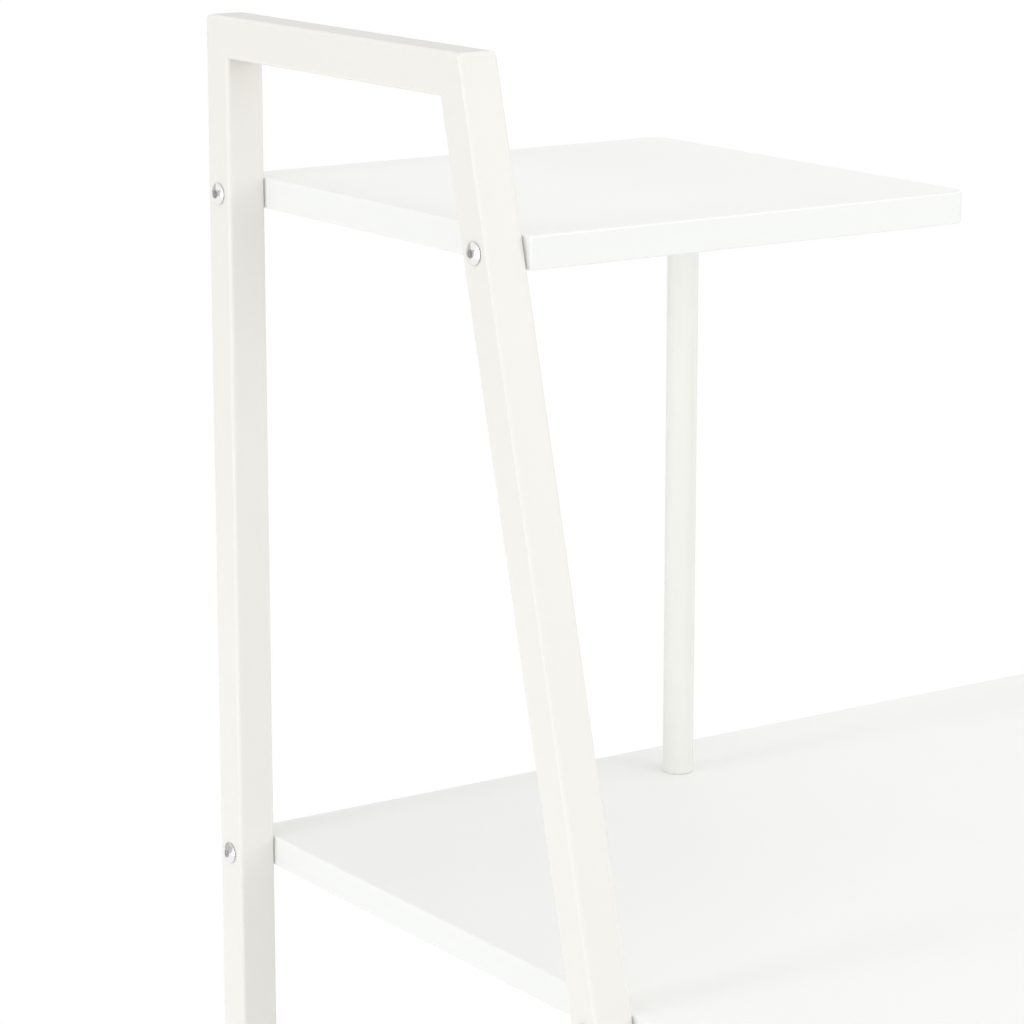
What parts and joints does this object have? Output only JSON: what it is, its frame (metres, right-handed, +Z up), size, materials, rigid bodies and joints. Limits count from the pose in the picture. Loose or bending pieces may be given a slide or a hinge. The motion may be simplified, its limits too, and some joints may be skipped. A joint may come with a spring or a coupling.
{
  "type": "ladder desk",
  "caption": "White ladder desk: sloped square-tube end frames, a bolted desktop with shelves above and below at one end, round posts and levelling feet.",
  "frame": {"origin": "on the floor, under the middle of the desk's outline seen from above", "axes": "+X to the right of someone sitting at the desk, +Y to the back, +Z up"},
  "size_m": [1.0244, 0.516, 1.17],
  "materials": {
    "powder_coat": "satin white powder coat",
    "coated_board": "white melamine on chipboard",
    "edge_band": "white plastic edge band",
    "plated_bolt": "bright plated steel",
    "plated_steel": "zinc plated steel",
    "plug_plastic": "moulded white plastic",
    "foot_plastic": "moulded white plastic"
  },
  "bodies": {
    "desk": {"blind_sleeves": "plated_steel", "blind_studs": "plated_steel", "board_end_sleeves": "plated_steel", "desktop": "coated_board", "desktop_edge_bands": "edge_band", "front_leg_plugs": "plug_plastic", "front_post_foot": "powder_coat", "front_post_lower": "powder_coat", "front_post_middle": "powder_coat", "left_frame_bolts": "plated_bolt", "left_front_leg": "powder_coat", "left_rear_leg": "powder_coat", "left_top_bar": "powder_coat", "lower_shelf": "coated_board", "lower_shelf_edge_bands": "edge_band", "middle_shelf": "coated_board", "middle_shelf_edge_bands": "edge_band", "post_end_plugs": "plated_steel", "rear_leg_plugs": "plug_plastic", "rear_post_foot": "powder_coat", "rear_post_lower": "powder_coat", "rear_post_middle": "powder_coat", "rear_stretcher": "powder_coat", "right_frame_bolts": "plated_bolt", "right_front_leg": "powder_coat", "right_rear_leg": "powder_coat", "right_top_bar": "powder_coat", "stretcher_nuts": "plated_steel", "through_studs": "plated_steel", "upper_post": "powder_coat", "upper_shelf": "coated_board", "upper_shelf_edge_bands": "edge_band"},
    "left_rear_foot": {"left_rear_foot_pad": "foot_plastic", "left_rear_foot_stem": "plated_steel"},
    "left_front_foot": {"left_front_foot_pad": "foot_plastic", "left_front_foot_stem": "plated_steel"},
    "right_rear_foot": {"right_rear_foot_pad": "foot_plastic", "right_rear_foot_stem": "plated_steel"},
    "right_front_foot": {"right_front_foot_pad": "foot_plastic", "right_front_foot_stem": "plated_steel"},
    "rear_column_foot": {"rear_column_foot_pad": "foot_plastic", "rear_column_foot_stem": "plated_steel"},
    "front_column_foot": {"front_column_foot_pad": "foot_plastic", "front_column_foot_stem": "plated_steel"}
  },
  "joints": [
    {"name": "left_rear_foot_screw", "type": "slide", "parent": "desk", "child": "left_rear_foot", "axis": [0, 0, 1], "range_m": [0, 0.008]},
    {"name": "left_front_foot_screw", "type": "slide", "parent": "desk", "child": "left_front_foot", "axis": [0, 0, 1], "range_m": [0, 0.008]},
    {"name": "right_rear_foot_screw", "type": "slide", "parent": "desk", "child": "right_rear_foot", "axis": [0, 0, 1], "range_m": [0, 0.008]},
    {"name": "right_front_foot_screw", "type": "slide", "parent": "desk", "child": "right_front_foot", "axis": [0, 0, 1], "range_m": [0, 0.008]},
    {"name": "rear_column_foot_screw", "type": "slide", "parent": "desk", "child": "rear_column_foot", "axis": [0, 0, 1], "range_m": [0, 0.008]},
    {"name": "front_column_foot_screw", "type": "slide", "parent": "desk", "child": "front_column_foot", "axis": [0, 0, 1], "range_m": [0, 0.008]}
  ]
}
